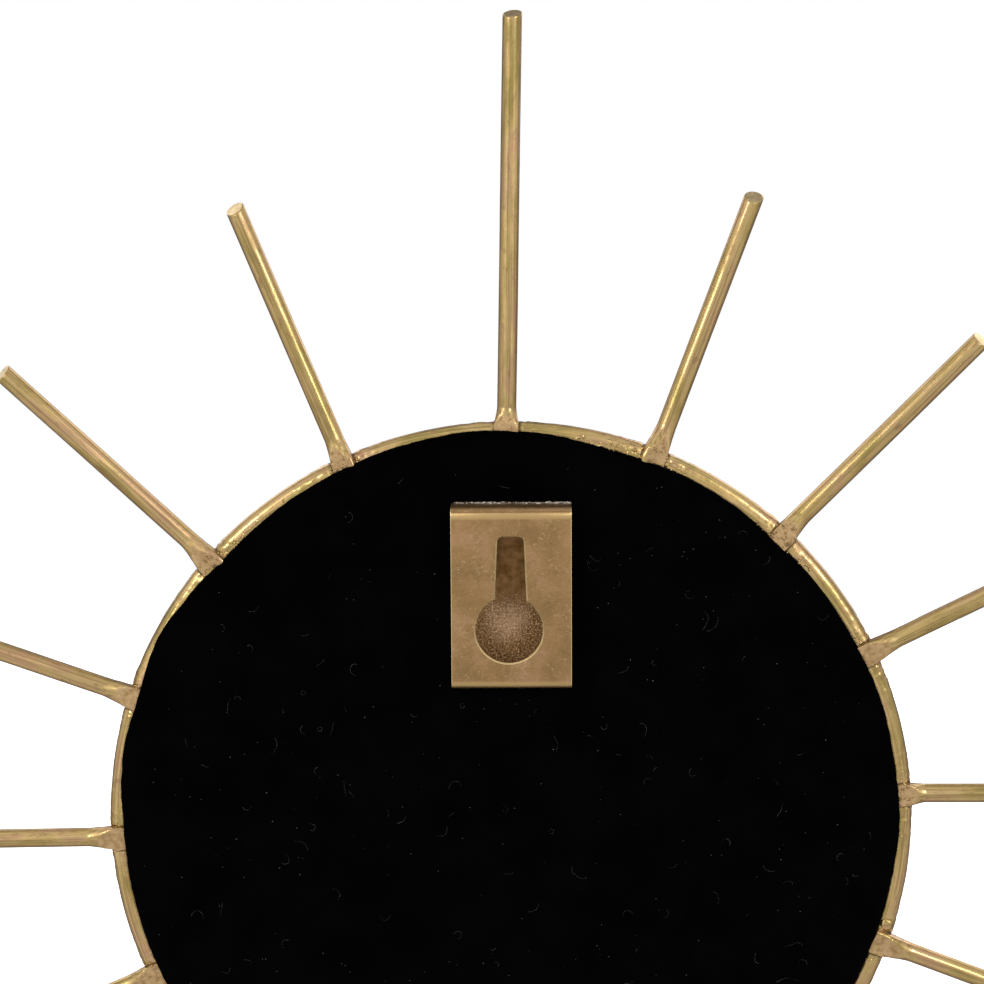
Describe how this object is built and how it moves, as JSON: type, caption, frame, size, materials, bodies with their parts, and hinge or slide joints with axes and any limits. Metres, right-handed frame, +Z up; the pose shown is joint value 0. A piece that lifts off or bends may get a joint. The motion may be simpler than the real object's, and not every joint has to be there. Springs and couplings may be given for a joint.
{
  "type": "sunburst wall clock",
  "caption": "Round wall clock in a closed brass cup, ringed by brazed brass rod rays, with a push-in quartz insert and a keyhole hanger plate on a velvet back.",
  "frame": {"origin": "centre of the keyhole's round part, on the rear face of the hanger plate", "axes": "+Z up, +Y towards the wall (the dial faces -Y), +X to the right as the dial is read"},
  "size_m": [0.2705, 0.0366, 0.2706],
  "materials": {
    "aged_brass": "drawn rod, lightly aged, with brown heat stains at the joints",
    "cup_brass": "spun sheet, satin",
    "hanger_brass": "matt sheet with fine scratches and bright edges",
    "black_velvet": "dense short pile",
    "bezel_brass": "polished, with a soft hairline",
    "clear_glass": "clear flat",
    "dial_enamel": "satin cream paint",
    "zinc_steel": "bright zinc plate",
    "gasket_rubber": "matt",
    "small_brass": "turned, bright",
    "case_plastic": "fine spark texture",
    "gear_plastic": "natural acetal",
    "board_green": "lacquered board",
    "coil_copper": "enamelled copper wire",
    "cell_jacket": "plain printed sleeve",
    "hand_black": "satin black"
  },
  "bodies": {
    "case": {"ring": "aged_brass", "ray_01": "aged_brass", "ray_02": "aged_brass", "ray_03": "aged_brass", "ray_04": "aged_brass", "ray_05": "aged_brass", "ray_06": "aged_brass", "ray_07": "aged_brass", "ray_08": "aged_brass", "ray_09": "aged_brass", "ray_10": "aged_brass", "ray_11": "aged_brass", "ray_12": "aged_brass", "ray_13": "aged_brass", "ray_14": "aged_brass", "ray_15": "aged_brass", "ray_16": "aged_brass", "case_cup": "cup_brass", "velvet_backing": "black_velvet", "hanger_plate": "hanger_brass"},
    "insert": {"bezel": "bezel_brass", "lens": "clear_glass", "dial_ring": "dial_enamel", "dial": "dial_enamel", "insert_pan": "zinc_steel", "insert_gasket": "gasket_rubber", "dial_washer": "zinc_steel", "dial_nut": "small_brass", "centre_bush": "small_brass", "movement_case": "case_plastic", "movement_cover": "case_plastic", "train_bridge": "gear_plastic", "bridge_screws": "zinc_steel", "circuit_board": "board_green", "quartz_crystal": "zinc_steel", "motor_coil": "coil_copper", "coil_core": "zinc_steel", "stator": "zinc_steel", "battery": "cell_jacket", "contact_positive": "zinc_steel", "contact_negative": "zinc_steel"},
    "second_train": {"second_wheel": "gear_plastic", "second_hand": "small_brass"},
    "third_train": {"third_wheel": "gear_plastic"},
    "centre_train": {"centre_wheel": "gear_plastic"},
    "fifth_train": {"fifth_wheel": "gear_plastic"},
    "motor_rotor": {"rotor": "zinc_steel"},
    "minute_train": {"cannon_pinion": "small_brass", "minute_hand": "hand_black"},
    "motion_train": {"motion_wheel": "gear_plastic"},
    "hour_train": {"hour_wheel": "gear_plastic", "hour_hand": "hand_black"},
    "knob_train": {"setting_knob": "gear_plastic"}
  },
  "joints": [
    {"name": "insert_pull", "type": "slide", "parent": "case", "child": "insert", "axis": [0, -1, 0], "range_m": [0, 0.04]},
    {"name": "second_turn", "type": "hinge", "parent": "insert", "child": "second_train", "pos_m": [0, -0.02, -0.0342], "axis": [0, 1, 0], "continuous": true},
    {"name": "third_turn", "type": "hinge", "parent": "insert", "child": "third_train", "pos_m": [-0.00846, -0.02, -0.03112], "axis": [0, 1, 0], "continuous": true},
    {"name": "centre_turn", "type": "hinge", "parent": "insert", "child": "centre_train", "pos_m": [0, -0.02, -0.0342], "axis": [0, 1, 0], "continuous": true},
    {"name": "fifth_turn", "type": "hinge", "parent": "insert", "child": "fifth_train", "pos_m": [0.00579, -0.02, -0.02731], "axis": [0, 1, 0], "continuous": true},
    {"name": "rotor_turn", "type": "hinge", "parent": "insert", "child": "motor_rotor", "pos_m": [0.01016, -0.02, -0.01973], "axis": [0, 1, 0], "continuous": true},
    {"name": "minute_turn", "type": "hinge", "parent": "insert", "child": "minute_train", "pos_m": [0, -0.02, -0.0342], "axis": [0, 1, 0], "continuous": true},
    {"name": "motion_turn", "type": "hinge", "parent": "insert", "child": "motion_train", "pos_m": [0.0075, -0.02, -0.0342], "axis": [0, 1, 0], "continuous": true},
    {"name": "hour_turn", "type": "hinge", "parent": "insert", "child": "hour_train", "pos_m": [0, -0.02, -0.0342], "axis": [0, 1, 0], "continuous": true},
    {"name": "knob_turn", "type": "hinge", "parent": "insert", "child": "knob_train", "pos_m": [0.01325, -0.02, -0.03902], "axis": [0, 1, 0], "continuous": true}
  ],
  "couplings": [
    {"joint": "third_turn", "follows": "second_turn", "ratio": -0.13333},
    {"joint": "centre_turn", "follows": "second_turn", "ratio": 0.016667},
    {"joint": "fifth_turn", "follows": "second_turn", "ratio": -5},
    {"joint": "rotor_turn", "follows": "second_turn", "ratio": 30},
    {"joint": "motion_turn", "follows": "minute_turn", "ratio": -0.33333},
    {"joint": "hour_turn", "follows": "minute_turn", "ratio": 0.083333},
    {"joint": "knob_turn", "follows": "minute_turn", "ratio": 1}
  ]
}
